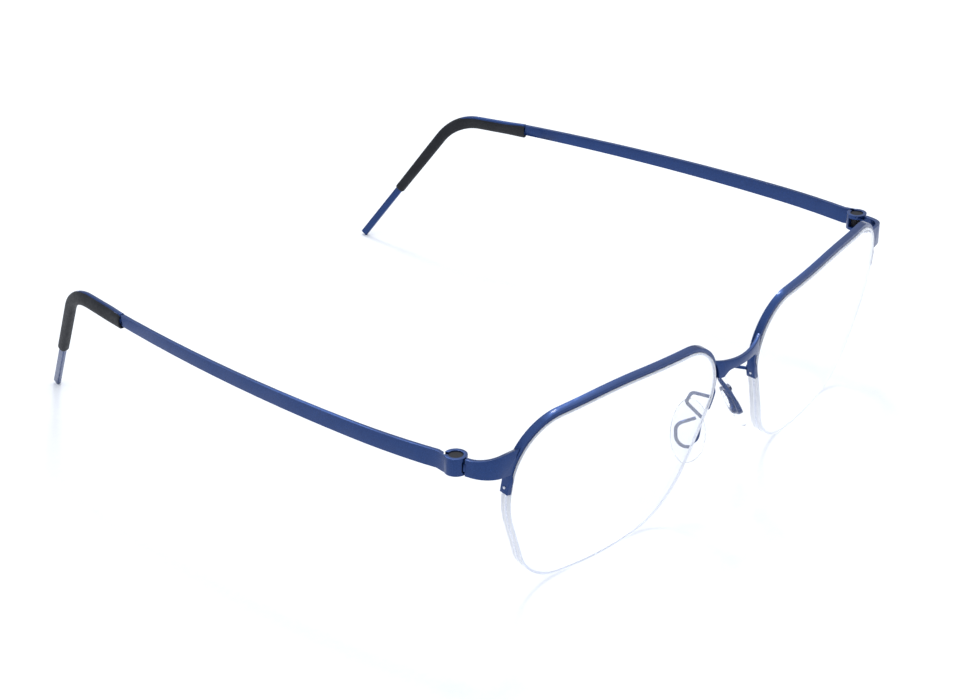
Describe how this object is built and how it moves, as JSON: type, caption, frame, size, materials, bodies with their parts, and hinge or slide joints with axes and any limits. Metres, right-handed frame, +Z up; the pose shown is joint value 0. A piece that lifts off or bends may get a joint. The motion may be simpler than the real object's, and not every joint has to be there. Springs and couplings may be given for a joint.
{
  "type": "half rim eyeglasses",
  "caption": "Half rim spectacles: metal brow bars over cord-held lenses, an arched bridge, silicone nose pads, and slim strip temples on screwless rolled hinges.",
  "frame": {"origin": "on the surface the glasses stand on, under the middle of their bounding box", "axes": "+X towards the wearer's left, +Y back along the temples, +Z up"},
  "size_m": [0.1388, 0.1363, 0.0378],
  "materials": {
    "frame_paint": "satin metallic blue lacquer on thin metal",
    "lens": "clear polished lens with a pale blue anti-reflection coating",
    "clear_nylon": "clear nylon",
    "bush_plastic": "black low-friction plastic",
    "sleeve_rubber": "matt charcoal soft-touch sleeve",
    "pad_silicone": "clear soft silicone"
  },
  "bodies": {
    "front": {"bridge": "frame_paint", "brow_bar_left": "frame_paint", "brow_bar_right": "frame_paint", "end_piece_left": "frame_paint", "end_piece_right": "frame_paint", "hinge_bush_left": "bush_plastic", "hinge_bush_right": "bush_plastic", "lens_left": "lens", "lens_right": "lens", "nose_pad_left": "pad_silicone", "nose_pad_right": "pad_silicone", "pad_arm_left": "frame_paint", "pad_arm_right": "frame_paint", "retainer_cord_left": "clear_nylon", "retainer_cord_right": "clear_nylon", "rim_liner_left": "clear_nylon", "rim_liner_right": "clear_nylon"},
    "temple_arm_left": {"temple_left": "frame_paint", "temple_sleeve_left": "sleeve_rubber"},
    "temple_arm_right": {"temple_right": "frame_paint", "temple_sleeve_right": "sleeve_rubber"}
  },
  "joints": [
    {"name": "temple_left_fold", "type": "hinge", "parent": "front", "child": "temple_arm_left", "pos_m": [0.067, -0.0524, 0.0302], "axis": [0, 0, 1], "range_deg": [0, 81]},
    {"name": "temple_right_fold", "type": "hinge", "parent": "front", "child": "temple_arm_right", "pos_m": [-0.067, -0.0524, 0.0302], "axis": [0, 0, -1], "range_deg": [0, 74]}
  ]
}
